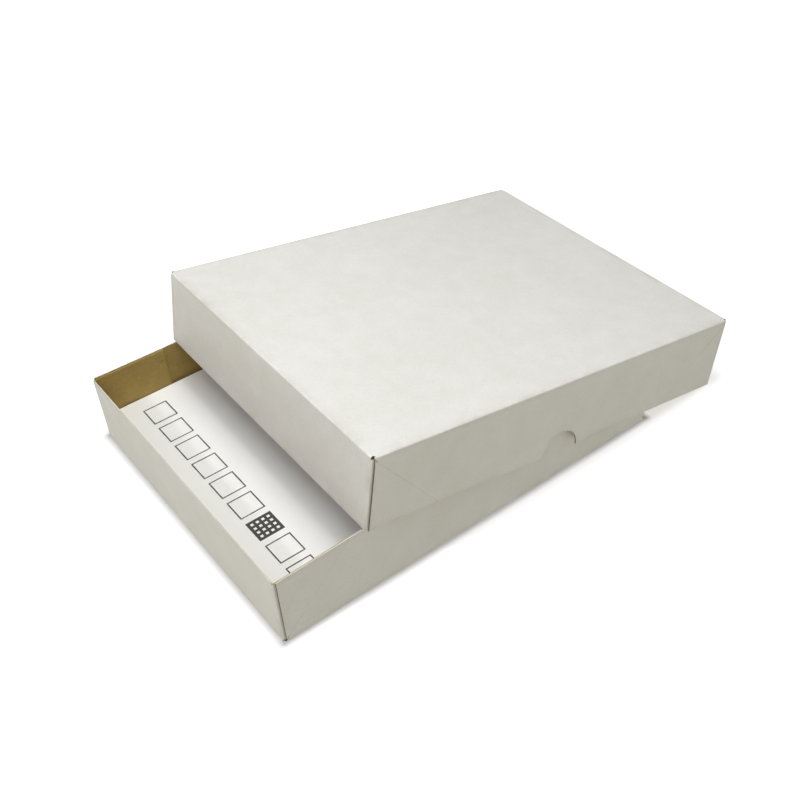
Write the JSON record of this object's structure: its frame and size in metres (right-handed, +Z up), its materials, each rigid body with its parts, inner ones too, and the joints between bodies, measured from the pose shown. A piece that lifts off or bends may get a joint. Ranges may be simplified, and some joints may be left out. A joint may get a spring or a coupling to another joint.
{
  "type": "telescoping paperboard box",
  "caption": "Open two-piece telescoping paperboard box, white outside and kraft inside, its leaning lid pushed back off a base that holds a stack of letter-size sheets.",
  "frame": {"origin": "middle of the base's underside, on the table", "axes": "+X along the box towards the rear end, which the lid is pushed to; +Y to the left; +Z up"},
  "size_m": [0.3539, 0.2295, 0.1005],
  "materials": {
    "white_lined_board": "uncoated white-lined kraft boxboard, matte",
    "plain_paper": "uncoated office paper",
    "printed_paper": "uncoated office paper with thin grey line print",
    "dried_glue": "thin dried adhesive"
  },
  "bodies": {
    "base": {"base_bottom_panel": "white_lined_board", "base_front_end_wall": "white_lined_board", "base_front_left_corner_web": "white_lined_board", "base_front_left_glue_flap": "white_lined_board", "base_front_right_corner_web": "white_lined_board", "base_front_right_glue_flap": "white_lined_board", "base_glue_spots": "dried_glue", "base_left_side_wall": "white_lined_board", "base_rear_end_wall": "white_lined_board", "base_rear_left_corner_web": "white_lined_board", "base_rear_left_glue_flap": "white_lined_board", "base_rear_right_corner_web": "white_lined_board", "base_rear_right_glue_flap": "white_lined_board", "base_right_side_wall": "white_lined_board"},
    "lid": {"lid_front_end_wall": "white_lined_board", "lid_front_left_corner_web": "white_lined_board", "lid_front_left_glue_flap": "white_lined_board", "lid_front_right_corner_web": "white_lined_board", "lid_front_right_glue_flap": "white_lined_board", "lid_glue_spots": "dried_glue", "lid_left_side_wall": "white_lined_board", "lid_rear_end_wall": "white_lined_board", "lid_rear_left_corner_web": "white_lined_board", "lid_rear_left_glue_flap": "white_lined_board", "lid_rear_right_corner_web": "white_lined_board", "lid_rear_right_glue_flap": "white_lined_board", "lid_right_side_wall": "white_lined_board", "lid_top_panel": "white_lined_board"},
    "stack": {"sheet_stack": "plain_paper"},
    "top_sheet": {"printed_top_sheet": "printed_paper"}
  },
  "joints": [
    {"name": "lid_lift", "type": "slide", "parent": "base", "child": "lid", "axis": [0, 0, 1], "range_m": [0, 0.12]},
    {"name": "stack_lift", "type": "slide", "parent": "base", "child": "stack", "axis": [0, 0, 1], "range_m": [0, 0.014]},
    {"name": "top_sheet_lift", "type": "slide", "parent": "stack", "child": "top_sheet", "axis": [0, 0, 1], "range_m": [0, 0.014]}
  ]
}
